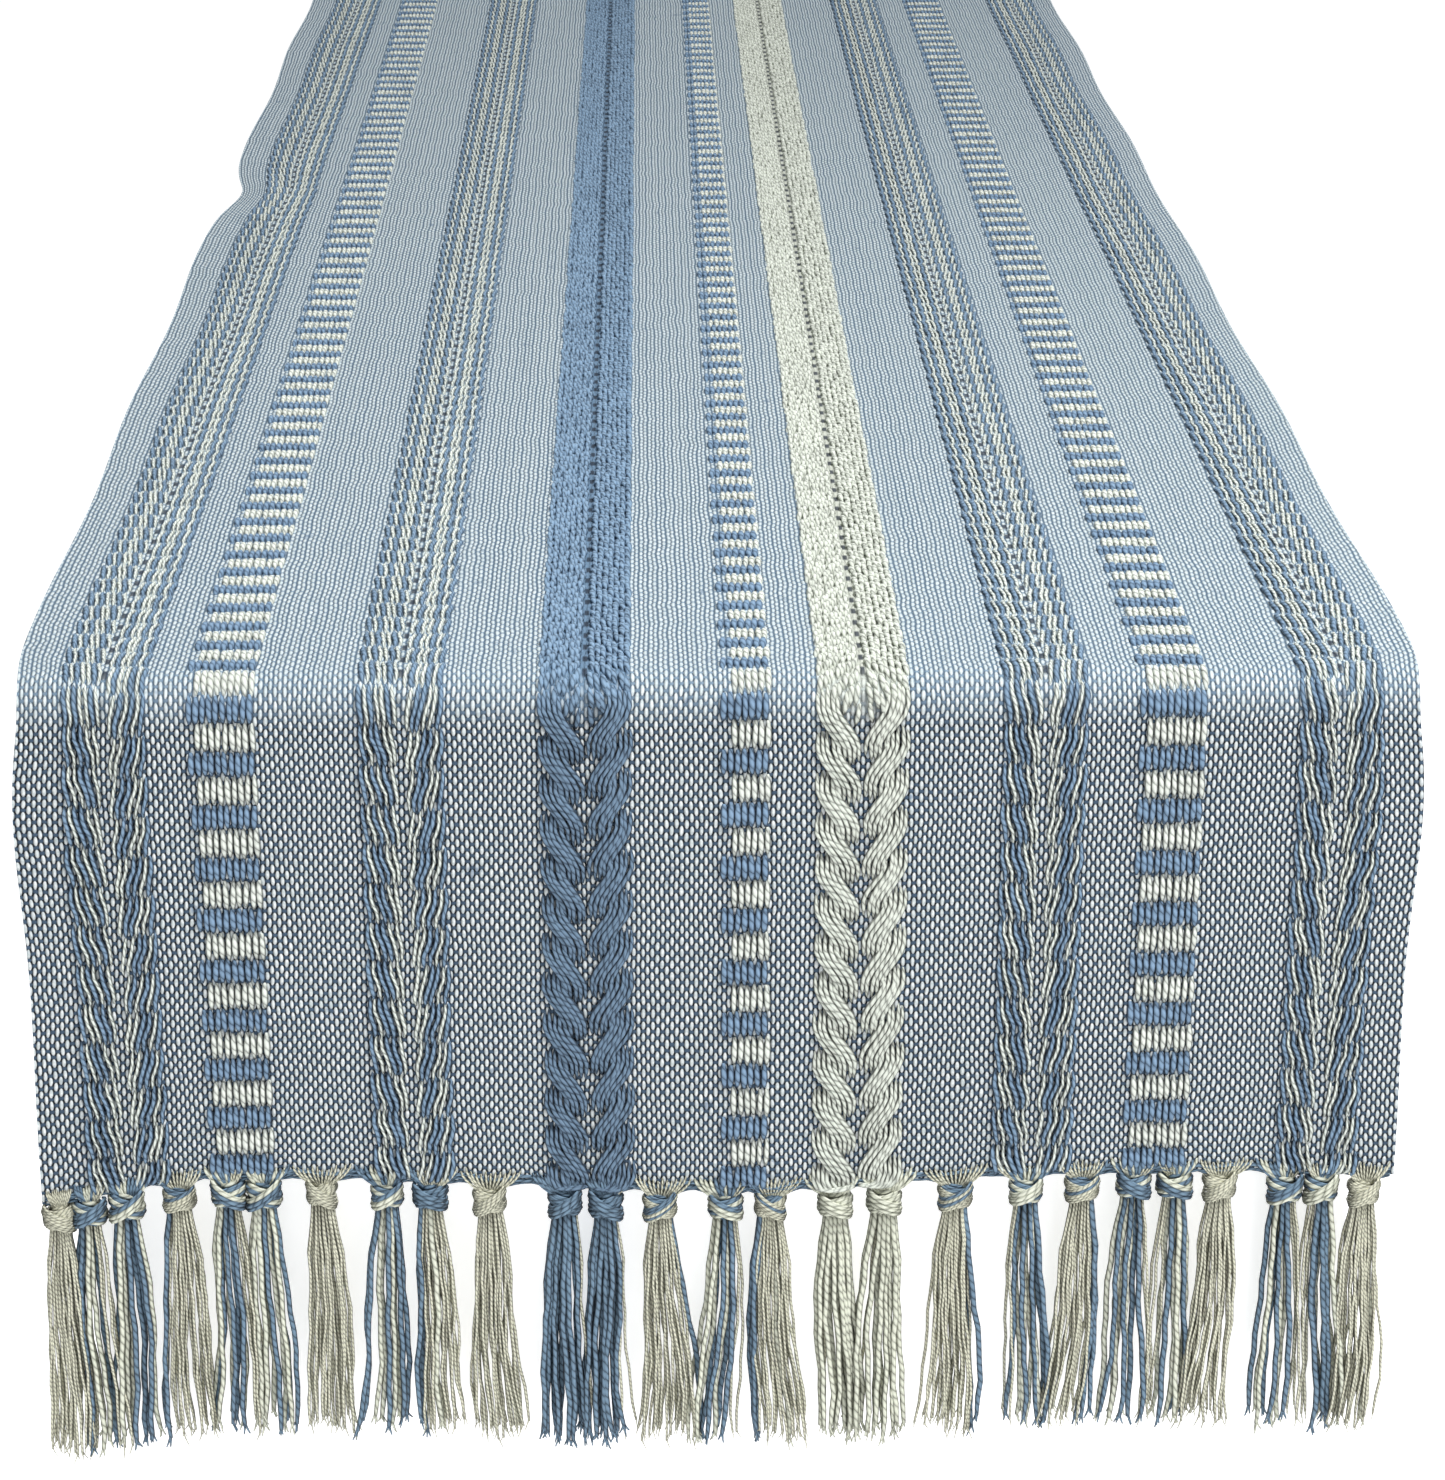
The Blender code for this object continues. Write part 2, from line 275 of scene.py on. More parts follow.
def weave_finish():
    """Cream warp that crosses over every other blue pick, in staggered rows of small ovals.

    The weave hangs open on the drops, where its warp ovals are smaller. There the blue picks and the
    gaps between the threads are painted in deep shade; on the table they are painted lighter, and the
    cream is mixed with a duller, bluer cream.
    """
    warp_pitch = 0.00133
    pick_pitch = 0.00181
    weft_wide, weft_long = 0.60, 0.36
    dull_cream, bright_cream = (0.53, 0.61, 0.63, 1), (0.98, 1.00, 1.00, 1)
    table_cream = (0.56, 0.71, 0.77, 1)
    deep_blue, soft_blue = (0.022, 0.044, 0.078, 1), (0.085, 0.145, 0.225, 1)
    table_blue, slub_blue = (0.22, 0.33, 0.45, 1), (0.20, 0.29, 0.42, 1)
    drop_gap_shade, table_gap_shade = (0.003, 0.006, 0.011, 1), (0.06, 0.10, 0.15, 1)
    pale_end, line_blue = (0.62, 0.70, 0.72, 1), (0.12, 0.20, 0.29, 1)
    bare_pick_blue = (0.020, 0.032, 0.055, 1)
    bare_half_width = 0.0009
    braid_half_width = 0.0120
    finish = Finish("ground_weave")
    uv = finish.node("UVMap", {"uv_map": "flat"}, {}).out("UV")
    place = finish.node("TexCoord", {}, {}).out("Object")
    parts = finish.node("SeparateXYZ", {}, {"Vector": uv})
    across = parts.out("X") / warp_pitch + (finish.noise(place, 70, 2) - 0.5) * 1.3
    down = parts.out("Y") / pick_pitch + (finish.noise(place, 110, 2) - 0.5) * 1.0
    near = parts.out("Y").math("MINIMUM", LENGTH - parts.out("Y"))
    drop = finish.clamp((HANG + 0.012 - near) / 0.016)

    def ovals(shift_across, shift_down, half_width, half_length):
        """Domes, 1 high, at every second crossing of the threads."""
        u = ((across + shift_across) / 2).math("FRACT") - 0.5
        v = ((down + shift_down) / 2).math("FRACT") - 0.5
        square = (u * 2 / half_width) ** 2 + (v * 2 / half_length) ** 2
        return (1 - square).math("MAXIMUM", 0) ** 0.5

    wide = 0.48 - drop * 0.04
    long = 0.86 - drop * 0.12
    warp = ovals(0, 0, wide, long).math("MAXIMUM", ovals(1, 1, wide, long))
    weft = ovals(1, 0, weft_wide, weft_long).math("MAXIMUM", ovals(0, 1, weft_wide, weft_long))
    fibre = finish.noise(place, 1300, 2)
    patch = finish.noise(place, 24, 3)
    slub = finish.clamp((finish.noise(place, 170, 3) - 0.67) * 12)
    uneven = fibre * 0.5 + finish.noise(place, 420, 1) * 0.5
    cream = finish.mix(finish.clamp((uneven - 0.5) * 2.6 + 0.5), dull_cream, bright_cream)
    # Painted shade: on the drops the blue picks are painted dark and the gaps between the threads
    # nearly black, and on the table both are painted lighter.
    blue = finish.mix(patch * 0.6 + fibre * 0.4, deep_blue, soft_blue)
    gap_shade = finish.mix(drop, table_gap_shade, drop_gap_shade)
    thread = finish.mix(drop, table_blue, blue)
    under = finish.mix(finish.clamp(weft * 1.3), gap_shade, thread)
    cream = finish.mix((1 - drop) * 0.38, cream, table_cream)
    over = finish.mix(slub * 0.75, cream, slub_blue)
    colour = finish.mix(finish.clamp(warp * 1.7), under, over)
    # On the table some warp ends are paler than others, and a dark line parts each pair of them.
    streak_place = finish.node(
        "CombineXYZ", {}, {"X": parts.out("X") * 260, "Y": parts.out("Y") * 5}).out()
    streak = finish.clamp((finish.noise(streak_place, 1, 2) - 0.5) * 2.4 + 0.5)
    colour = finish.mix(streak * (1 - drop) * 0.20, colour, pale_end)
    column = ((across / 2 + 0.25).math("FRACT") - 0.5).math("ABSOLUTE") * 2
    line = finish.clamp((column - 0.66) * 5) * (1 - drop)
    colour = finish.mix(line * 0.70, colour, line_blue)
    # Under a braid the cloth shows the braid's own yarn, and dark picks lie bare down the middle
    # of every braid and wave.
    picks = ((parts.out("Y") / LOBE_PITCH * 1.25).math("FRACT") - 0.5).math("ABSOLUTE")
    for stripe, own in (
        ("blue_braid", (0.17, 0.28, 0.41, 1)),
        ("cream_braid", (0.68, 0.71, 0.63, 1)),
        ("left_outer_wave", None),
        ("left_inner_wave", None),
        ("right_inner_wave", None),
        ("right_outer_wave", None),
    ):
        aside = (parts.out("X") - stripe_x(stripe)).math("ABSOLUTE")
        if own:
            under_braid = finish.clamp((braid_half_width - aside) / 0.0005) * (1 - drop)
            colour = finish.mix(under_braid, colour, own)
        bare = finish.clamp((bare_half_width - aside) / 0.0004) * (1 - drop)
        bare = bare * finish.clamp((0.28 - picks) * 8)
        colour = finish.mix(bare * 0.9, colour, bare_pick_blue)
    finish.surface(Base_Color=colour, Roughness=0.88)
    finish.bump(warp + weft * 0.45 + fibre * 0.10, 0.0008, 0.9)
    return finish.material


def new_piece(name, mesh, *materials):
    for material in materials:
        mesh.materials.append(material)
    made = bpy.data.objects.new(name, mesh)
    bpy.context.scene.collection.objects.link(made)
    return made


def across_bend(piece):
    """Bakes the piece's placement into its mesh, which already follows the top and turns over the
    table's edge.
    """
    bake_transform(piece)


CLOTH_COLUMNS = 132
DROP_ROWS, BEND_ROWS, TABLE_ROWS = 44, 14, 90
# The rows of the cloth's mesh, as distances from the hem. They lie close together in the bend.
stations = np.concatenate([
    np.linspace(0, HANG, DROP_ROWS),
    np.linspace(HANG, HANG + ARC, BEND_ROWS)[1:],
    np.linspace(HANG + ARC, HALF_LENGTH, TABLE_ROWS)[1:],
])
ground_weave = weave_finish()
for end, side in ENDS:
    bm = bmesh.new()
    bmesh.ops.create_grid(bm, x_segments=CLOTH_COLUMNS, y_segments=len(stations) - 1, size=1)
    flat_map = bm.loops.layers.uv.new("flat")
    for vertex in bm.verts:
        row = round((vertex.co.y + 1) / 2 * (len(stations) - 1))
        along = stations[row] if side < 0 else LENGTH - stations[row]
        vertex.co = (vertex.co.x * HALF_WIDTH, along, 0)
    for face in bm.faces:
        for loop in face.loops:
            loop[flat_map].uv = loop.vert.co.xy
    flat_points = np.array([vertex.co for vertex in bm.verts])
    # The middle row belongs to both sheets, so it is placed a hair inside its own half.
    along = np.minimum(flat_points[:, 1], HALF_LENGTH - 1e-6) if side < 0 else flat_points[:, 1]
    for vertex, place in zip(bm.verts, drape(flat_points[:, 0], along, 0)):
        vertex.co = place
    bmesh.ops.recalc_face_normals(bm, faces=bm.faces)
    mesh = bpy.data.meshes.new(end + "_ground_cloth")
    bm.to_mesh(mesh)
    bm.free()
    mesh.shade_smooth()
    cloth = new_piece(end + "_ground_cloth", mesh, ground_weave)
    wall = cloth.modifiers.new("thickness", "SOLIDIFY")
    wall.thickness = CLOTH_THICK
    wall.offset = 0
    bpy.context.view_layer.update()
    graph = bpy.context.evaluated_depsgraph_get()
    thick = bpy.data.meshes.new_from_object(cloth.evaluated_get(graph))
    thick.set_sharp_from_angle(angle=math.radians(50))
    cloth.modifiers.clear()
    cloth.data = thick
    across_bend(cloth)
    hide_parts(end + "_bend", end + "_drop_cloth", "top_cloth")

# ---------------------------------------------------------------------------------------------
# The two double braids, one blue and one cream: two chains of soft plied cotton that mirror each
# other and point to the front. On the drops a chain is long lobes of yarn that come up out of the
# cloth and cross it in an S. On the table it is beaten close, into rows of short floats in a V.

rng = np.random.default_rng(7)
LOBE_LENGTH = 0.0220
BLUE, CREAM = 0, 1
YARN_BEVEL = 0.001  # the curves' own radius, which each point's radius multiplies
YARN_ROOT = 0.0004  # how deep in the cloth a yarn comes up and dives in
CROSSING = (0.22, 0.56)  # where along a lobe its yarns start to cross over, and for how much of it
HEM_INSET = 0.0006  # how far inside the hems the stripes' yarns end
TABLE_FROM = HANG - ARC * 0.4  # where the braids' close floats take over from the lobes
TABLE_TO = LENGTH - HANG - ARC * 0.6
FLOAT_COLUMNS = 7
FLOAT_SPACING = 0.00160
FLOAT_PITCH = 0.0052
FLOAT_LENGTH = 0.0060
FLOAT_ROOT = 0.0005
FLOAT_LIFT = 0.00095
FLOAT_RADIUS = 0.00086
FLOAT_LEAN = 0.0012  # towards the stripe's middle, over the length of a float


def yarn_finish(name, light, dark, turns, depth=0.00030, open_above=0.65, hang_shade=0.0):
    """Plied cotton: two plies wind round each other. Painted shade darkens the grooves between the
    plies, and the sides where a yarn meets its neighbours.

    turns is the plies' twist, to a metre. open_above takes that painted side shade off yarns that lie
    on the table, open to the light, and hang_shade paints the yarns that hang darker, as shade.
    """
    finish = Finish(name)
    uv = finish.node("UVMap", {"uv_map": "UVMap"}, {}).out("UV")
    coords = finish.node("TexCoord", {}, {})
    place = coords.out("Object")
    parts = finish.node("SeparateXYZ", {}, {"Vector": uv})
    # Painted shade: sides that face across the cloth, into the crevices between yarns, are darkened.
    # crown is 1 where a yarn faces up, or out of a drop.
    facing = finish.node("SeparateXYZ", {}, {"Vector": coords.out("Normal")})
    crown = facing.out("Z").math("MAXIMUM", facing.out("Y").math("ABSOLUTE"))
    crown = finish.clamp((crown - 0.46) / 0.46)
    high = finish.node("SeparateXYZ", {}, {"Vector": place}).out("Z")
    lying = finish.clamp((high + 0.008) / 0.006)
    crown = crown + (1 - crown) * lying * open_above
    wobble = finish.noise(place, 180, 2) - 0.5
    wind = parts.out("X") * turns + parts.out("Y") + wobble * 0.35
    ply = (wind * (2 * math.pi)).math("SINE").math("ABSOLUTE") ** 0.6
    fibre = finish.noise(place, 1700, 3)
    patch = finish.noise(place, 130, 2)
    height = ply * 0.75 + fibre * 0.25
    # Painted shade: where the plies dip, and on the yarn's sides, the colour falls from the light
    # colour to the dark one, and deeper still in the grooves. Yarns that hang are painted darker
    # still.
    shade = finish.clamp(height * 1.15 + (patch - 0.5) * 0.6) * (crown * 0.88 + 0.12)
    shade = shade * (1 - (1 - lying) * hang_shade)
    groove_shade = tuple(part * 0.25 for part in dark[:3]) + (1,)
    low = finish.mix(finish.clamp(shade * 2.2), groove_shade, dark)
    finish.surface(Base_Color=finish.mix(shade, low, light), Roughness=0.85)
    finish.bump(height, depth, 0.9)
    return finish.material


def yarn_piece(name, yarns, sides, *materials):
    """One closed mesh of many yarns. A yarn is (points, radii, number of its material)."""
    line = bpy.data.curves.new(name, "CURVE")
    line.dimensions = "3D"
    line.bevel_depth = YARN_BEVEL
    line.bevel_resolution = (sides - 4) // 2
    line.use_fill_caps = True
    for material in materials:
        line.materials.append(material)
    for points, radii, material in yarns:
        spline = line.splines.new("POLY")
        spline.points.add(len(points) - 1)
        spline.points.foreach_set("co", np.insert(points, 3, 1, axis=1).ravel())
        spline.points.foreach_set("radius", np.asarray(radii) / YARN_BEVEL)
        spline.material_index = material
    guide = bpy.data.objects.new(name + "_line", line)
    bpy.context.scene.collection.objects.link(guide)
    bpy.context.view_layer.update()
    graph = bpy.context.evaluated_depsgraph_get()
    mesh = bpy.data.meshes.new_from_object(guide.evaluated_get(graph))
    bpy.data.objects.remove(guide)
    # The map's first axis becomes metres along each yarn, starting elsewhere for each.
    spans = np.array([np.linalg.norm(np.diff(points, axis=0), axis=1).sum() for points, _, _ in yarns])
    walls = np.array([(len(points) - 1) * sides for points, _, _ in yarns])
    corners = np.zeros(len(mesh.polygons), int)
    mesh.polygons.foreach_get("loop_total", corners)
    caps = len(mesh.polygons) - walls.sum()
    scale = np.repeat(np.concatenate([[0.001], spans]), np.concatenate([[caps], walls]))
    start = np.repeat(np.arange(len(yarns) + 1) * 0.173, np.concatenate([[caps], walls]))
    uv = np.zeros(len(mesh.loops) * 2, np.float32)
    layer = mesh.uv_layers["UVMap"]
    layer.uv.foreach_get("vector", uv)
    uv = uv.reshape(-1, 2)
    uv[:, 0] = uv[:, 0] * np.repeat(scale, corners) + np.repeat(start, corners)
    layer.uv.foreach_set("vector", uv.ravel())
    bm = bmesh.new()
    bm.from_mesh(mesh)
    bmesh.ops.remove_doubles(bm, verts=bm.verts, dist=1e-7)
    bm.to_mesh(mesh)
    bm.free()
    mesh.shade_smooth()
    made = bpy.data.objects.new(name, mesh)
    bpy.context.scene.collection.objects.link(made)
    return made


def smooth(t):
    t = np.clip(t, 0, 1)
    return t * t * (3 - 2 * t)


def lobe(centre, side, low, yarns, look):
    """The yarns of one lobe, whose lower end is at low. The left chain's side is -1."""
    t = np.linspace(0, 1, look["points"])
    made = []
    for number, material in enumerate(yarns):
        place = (number - (len(yarns) - 1) / 2) * look["spacing"]
        share = place / (look["spacing"] * len(yarns) / 2)
        # Outer yarns come up later and dive sooner, so that both ends of a lobe are round.
        inset = look["round"] * share ** 2 + rng.uniform(-0.02, 0.02)
        run = inset + (1 - 2 * inset) * t
        crossing = smooth((run - CROSSING[0]) / CROSSING[1])
        swing = look["swing"] * (1 - look["calm"] * share ** 2)
        narrow = look["pinch"] + (1 - look["pinch"]) * np.sin(math.pi * run)
        x = centre + side * swing * (1 - 2 * crossing) + place * narrow
        x = x + rng.uniform(-1, 1) * 0.00016 + 0.00014 * np.sin(run * 12 + rng.uniform(0, 6))
        along = low + (1 - run) * look["length"]
        rise = np.sin(math.pi * t) ** 0.40
        crown = look["crown"] * (1 - share ** 2) * np.sin(math.pi * run)
        lift = look["thick"] * 0.8 + crown + rng.uniform(-1, 1) * 0.00018
        out = SURFACE - YARN_ROOT + (YARN_ROOT + lift) * rise
        thick = look["thick"] if material != CREAM else look["cream_thick"]
        radii = thick * (0.45 + 0.55 * rise) * rng.uniform(0.90, 1.10)
        made.append((x, along, out, radii, material))
    return made


def halves(yarns):
    """Draped yarns, in one list for each end of the runner."""
    parts = {"front": [], "back": []}
    for x, along, out, radii, material in yarns:
        inside = np.clip(along, HEM_INSET, LENGTH - HEM_INSET)
        end = "front" if inside.mean() < HALF_LENGTH else "back"
        parts[end].append((drape(x, inside, out), radii, material))
    return parts


def stripe_pieces(stripe, yarns, sides, slot, *materials):
    """The stripe as one piece for each end, each bending over its own edge of the table."""
    parts = halves(yarns)
    for end, side in ENDS:
        piece = yarn_piece(end + "_" + stripe, parts[end], sides, *materials)
        across_bend(piece)
        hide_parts(end + "_drop_" + stripe, "top_" + stripe)
        on_cloth[end].append(piece)


def table_floats(stripe, centre, side):
    """A chain where it lies on the table: beaten close, it is rows of short floats in a V."""
    t = np.linspace(0, 1, 4)
    rise = np.sin(math.pi * t) ** 0.5
    made = []
    for column in range(FLOAT_COLUMNS):
        x = centre + (column - (FLOAT_COLUMNS - 1) / 2) * FLOAT_SPACING
        start = abs(x - stripe_x(stripe)) * 0.9 + column % 2 * FLOAT_PITCH / 2
        for low in np.arange(TABLE_FROM + start, TABLE_TO, FLOAT_PITCH):
            long = FLOAT_LENGTH * rng.uniform(0.88, 1.12)
            across = x + rng.uniform(-1, 1) * 0.00036 - side * FLOAT_LEAN * (t - 0.5)
            along = low + rng.uniform(-1, 1) * 0.0008 + long * t
            lift = FLOAT_LIFT + rng.uniform(-1, 1) * 0.00030
            out = SURFACE - FLOAT_ROOT + (FLOAT_ROOT + lift) * rise
            made.append((across, along, out, FLOAT_RADIUS * (0.42 + 0.58 * rise), BLUE))
    return made


on_cloth = {"front": [], "back": []}
# A chain's lobes: their spacing, swing, length, crown and thickness in metres, and the shares by
# which they round off at the ends (round), narrow there (pinch) and swing less outside (calm).
braid_look = {
    "points": 9, "spacing": 0.00140, "swing": 0.0030, "length": LOBE_LENGTH,
    "crown": 0.0009, "thick": 0.00076, "cream_thick": 0.00076, "round": 0.06, "pinch": 0.90,
    "calm": 0.0,
}
BRAID_CHAIN = 0.00655  # from the stripe's middle to the middle of each chain
YARNS_IN_LOBE = 5
blue_yarn = yarn_finish(
    "blue_braid_yarn", (0.28, 0.42, 0.58, 1), (0.012, 0.030, 0.066, 1), 190, open_above=0.9,
    hang_shade=0.38)
cream_yarn = yarn_finish(
    "cream_braid_yarn", (0.82, 0.86, 0.77, 1), (0.17, 0.18, 0.155, 1), 190, open_above=0.9)
for stripe, slot, yarn in (
    ("blue_braid", "blue_yarn", blue_yarn),
    ("cream_braid", "cream_yarn", cream_yarn),
):
    yarns = []
    for side in (-1, 1):
        centre = stripe_x(stripe) + side * BRAID_CHAIN
        first = -LOBE_LENGTH * 0.6 + (side > 0) * LOBE_PITCH * 0.12
        for low in np.arange(first, LENGTH - LOBE_LENGTH * 0.3, LOBE_PITCH):
            if low < HANG - LOBE_PITCH * 0.5 or low > LENGTH - HANG - LOBE_LENGTH * 0.8:
                yarns += lobe(centre, side, low, [BLUE] * YARNS_IN_LOBE, braid_look)
        yarns += table_floats(stripe, centre, side)
    stripe_pieces(stripe, yarns, 6, slot, yarn)

# ---------------------------------------------------------------------------------------------
# The four wave stripes. They are woven as the braids are, but of thinner yarns, blue and cream
# by turns, so that cream threads meander between blue ones and the ground shows through. On the
# table their lobes are shorter and swing less, which makes steady lines.

wave_look = {
    "points": 7, "spacing": 0.00172, "swing": 0.0011, "length": 0.0140,
    "crown": 0.0004, "thick": 0.00080, "cream_thick": 0.00062, "round": 0.04, "pinch": 0.90,
    "calm": 0.65,
}
WAVE_CHAIN = 0.0063
wave_blue = yarn_finish("wave_blue_yarn", (0.26, 0.39, 0.54, 1), (0.022, 0.046, 0.090, 1), 230)
wave_cream = yarn_finish("wave_cream_yarn", (0.90, 0.95, 0.88, 1), (0.22, 0.25, 0.23, 1), 230)
table_wave_look = dict(
    wave_look, spacing=0.00154, swing=0.0004, length=0.0124, crown=0.0002, calm=0.0, pinch=1.0)
TABLE_ORDER = (BLUE, CREAM, BLUE, CREAM, CREAM, BLUE, CREAM)
WAVE_ORDERS = (
    (BLUE, CREAM, BLUE, BLUE, CREAM, CREAM),
    (BLUE, CREAM, BLUE, CREAM, BLUE, CREAM),
    (BLUE, CREAM, CREAM, BLUE, BLUE, CREAM),
)
for stripe in ("left_outer_wave", "left_inner_wave", "right_inner_wave", "right_outer_wave"):
    yarns = []
    for side in (-1, 1):
        centre = stripe_x(stripe) + side * WAVE_CHAIN
        first = -LOBE_PITCH * rng.uniform(0.1, 0.5)
        for low in np.arange(first, LENGTH - LOBE_PITCH * 0.5, LOBE_PITCH):
            order, look = WAVE_ORDERS[rng.choice(3, p=(0.6, 0.2, 0.2))], wave_look
            if HANG - LOBE_PITCH * 0.4 < low < LENGTH - HANG - LOBE_PITCH * 0.6:
                order, look = TABLE_ORDER, table_wave_look
            yarns += lobe(centre, side, low, order[::-side], look)
    stripe_pieces(stripe, yarns, 4, "mixed_yarn", wave_blue, wave_cream)

# ---------------------------------------------------------------------------------------------
# The three check stripes. Cream stitches and blue stitches lie side by side along the cloth and
# change places every few picks, which makes short blocks of the two colours.

BLOCK_PITCH = 0.00775
STITCH_LENGTHS = (0.0072, 0.0083)  # blue, cream
STITCH_POINTS = 5
CHECKS = {
    # stripe: (cream stitches, their pitch, blue stitches, their pitch, blue block's shift)
    "left_wide_check": (9, 0.00184, 10, 0.00180, -0.0013),
    "narrow_check": (6, 0.00182, 7, 0.00188, -0.0018),
    "right_wide_check": (9, 0.00184, 10, 0.00182, -0.0011),
}
check_blue = yarn_finish("check_blue_yarn", (0.25, 0.38, 0.54, 1), (0.022, 0.046, 0.090, 1), 200)
check_cream = yarn_finish("check_cream_yarn", (0.90, 0.94, 0.86, 1), (0.22, 0.24, 0.22, 1), 200)


def stitch(x, low, thick, material):
    """A short float along the cloth, plump in the middle and pointed where it dives in."""
    t = np.linspace(0, 1, STITCH_POINTS)
    rise = np.sin(math.pi * np.clip(t, 0.02, 0.98)) ** 0.5
    lean = rng.uniform(-1, 1) * 0.00045
    across = x + lean * (t - 0.5) + rng.uniform(-1, 1) * 0.00013
    length = STITCH_LENGTHS[material] * rng.uniform(0.92, 1.05)
    along = low + (BLOCK_PITCH - length) / 2 + length * t + rng.uniform(-1, 1) * 0.0003
    thick = thick * rng.uniform(0.90, 1.08)
    out = SURFACE - YARN_ROOT + (YARN_ROOT + thick * 0.6) * rise
    return across, along, out, thick * (0.35 + 0.65 * rise), material


for stripe, (cream_count, cream_pitch, blue_count, blue_pitch, shift) in CHECKS.items():
    yarns = []
    for block, low in enumerate(np.arange(0.0008, LENGTH - BLOCK_PITCH, BLOCK_PITCH)):
        if block % 2:
            count, pitch, material, middle = cream_count, cream_pitch, CREAM, stripe_x(stripe)
        else:
            count, pitch, material, middle = blue_count, blue_pitch, BLUE, stripe_x(stripe) + shift
        for number in range(count):
            x = middle + (number - (count - 1) / 2) * pitch
            thick = pitch * (0.52 if material == CREAM else 0.56)
            yarns.append(stitch(x, low, thick, material))
    stripe_pieces(stripe, yarns, 6, "check_yarn", check_blue, check_cream)

# ---------------------------------------------------------------------------------------------
# The gathered hem. Groups of warp ends leave the last picks of the weave and fan in to the
# knots, and between the knots the last dark blue picks ride up and bunch into a thin cord.

FINE = 2
THICK_YARN = 0.00084
FINE_YARN = 0.00046
FAN_REACH = 0.0095  # how far to each side a knot draws in yarns
FAN_INSET = 0.0005
FAN_YARNS = (11, 13)  # at least, and at most
FAN_CLOSES_TO = 0.22  # of its width, where it enters the knot
FAN_DEPTH = 0.0024  # from the hem to the knot's top
HEM_WEFT = ((0.0, 0.0003), (0.0009, 0.0006), (-0.0007, -0.0002), (0.0017, 0.0007))
HEM_WEFT_RADIUS = 0.00058
HEM_WEFT_POINTS = 260
fringe_blue = yarn_finish(
    "fringe_blue_yarn", (0.26, 0.40, 0.54, 1), (0.006, 0.015, 0.032, 1), 185, open_above=0,
    hang_shade=0.24)
fringe_cream = yarn_finish(
    "fringe_cream_yarn", (0.86, 0.88, 0.74, 1), (0.19, 0.20, 0.14, 1), 185, open_above=0)
fringe_fine = yarn_finish(
    "fringe_fine_yarn", (0.82, 0.81, 0.65, 1), (0.085, 0.087, 0.054, 1), 330, 0.00012, 0)
FRINGE_YARNS = (fringe_blue, fringe_cream, fringe_fine)


def yarn_order(counts):
    """The materials of a tassel's yarns in the order they hang in.

    Blue and cream yarns hang mixed where there are some of each. Else the blue ones, or the few
    thick ones, hang together at one side.
    """
    blue, cream, fine = counts
    if blue > 2 and cream > 2:
        thick, rest = [BLUE] * blue + [CREAM] * cream, [FINE] * fine
        rng.shuffle(thick)
    else:
        thick, rest = [BLUE] * blue, [CREAM] * cream + [FINE] * fine
        rng.shuffle(rest)
    return thick + rest if rng.random() < 0.5 or blue > 7 else rest + thick


def radius_of(material):
    return FINE_YARN if material == FINE else THICK_YARN


def hem_low(x, side):
    """The height of the hem at a knot."""
    return drape(x, 0 if side < 0 else LENGTH, 0)[2]


orders = [yarn_order(tassel[4]) for tassel in TASSELS]
for end, side in ENDS:
    yarns = []
    for number, (x, order) in enumerate(zip(knots_x, orders)):
        left = max(-HALF_WIDTH, (knots_x[number - 1] + x) / 2) if number else -HALF_WIDTH
        right = (knots_x[number + 1] + x) / 2 if number < len(knots_x) - 1 else HALF_WIDTH
        left, right = max(left, x - FAN_REACH), min(right, x + FAN_REACH)
        count = min(max(len(order), FAN_YARNS[0]), FAN_YARNS[1])
        t = np.linspace(0, 1, 7)
        for place, start in enumerate(np.linspace(left + FAN_INSET, right - FAN_INSET, count)):
            material = order[min(int(place / count * len(order)), len(order) - 1)]
            into = x + (start - x) * FAN_CLOSES_TO
            high = rng.uniform(0.0030, 0.0048)
            above = drape(start, high if side < 0 else LENGTH - high, SURFACE + 0.0002)
            knot_top = np.array([into, side * (DROP_Y + 0.0010), hem_low(x, side) - FAN_DEPTH])
            points = above + (knot_top - above) * t[:, None]
            points[:, 0] = start + (into - start) * t ** 1.5
            points[:, 1] += side * 0.0006 * np.sin(math.pi * t)
            radii = np.full(len(t), radius_of(material) * (0.95 if material == FINE else 0.80))
            radii[0] *= 0.4
            yarns.append((points, radii, material))
    # The bunched weft is a few thin blue yarns that wander along the hem.
    across = np.linspace(-HALF_WIDTH + 0.001, HALF_WIDTH - 0.001, HEM_WEFT_POINTS)
    for pick, out in HEM_WEFT:
        along = 0.0008 + pick + 0.0004 * np.sin(across * 410 + pick * 3000)
        points = drape(across, along if side < 0 else LENGTH - along, out)
        points[:, 2] -= 0.0006
        yarns.append((points, np.full(len(across), HEM_WEFT_RADIUS), BLUE))
    hem = yarn_piece(end + "_gathered_hem", yarns, 4, *FRINGE_YARNS)
    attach(hem, end + "_drop")
    on_cloth[end].append(hem)

# ---------------------------------------------------------------------------------------------
# The knotted tassels. Each is a bunch of warp ends and stripe yarns in an overhand knot close
# under the hem, below which the plied yarns hang loose, spread a little and fray at the ends.

KNOT_DEPTH = 0.0044  # from the hem to the middle of a knot
KNOT_WIDE = 0.0052
KNOT_TALL = 0.0040
KNOT_FINE_THREAD = 0.00052
KNOT_THICK_THREAD = 0.00080
BAND_REACH = 1.85  # radians that the crossing band goes round a knot to each side
SKIRT_TOP = 0.0012  # from the knot's middle to where the loose yarns start
SKIRT_LONG = 0.0728
SKIRT_NECK = 0.0028  # half its width where it leaves the knot
SKIRT_FLARE = 0.0015  # what it gains at once below that
SKIRT_REACHES = (0.0066, 0.0086)  # half its width at the ends, at least and at most
STRAY_SHARE = 0.12  # of the yarns, which hang wider than the rest
STRAY_REACH = 1.35
FRAY_LENGTHS = (0.0022, 0.0042)


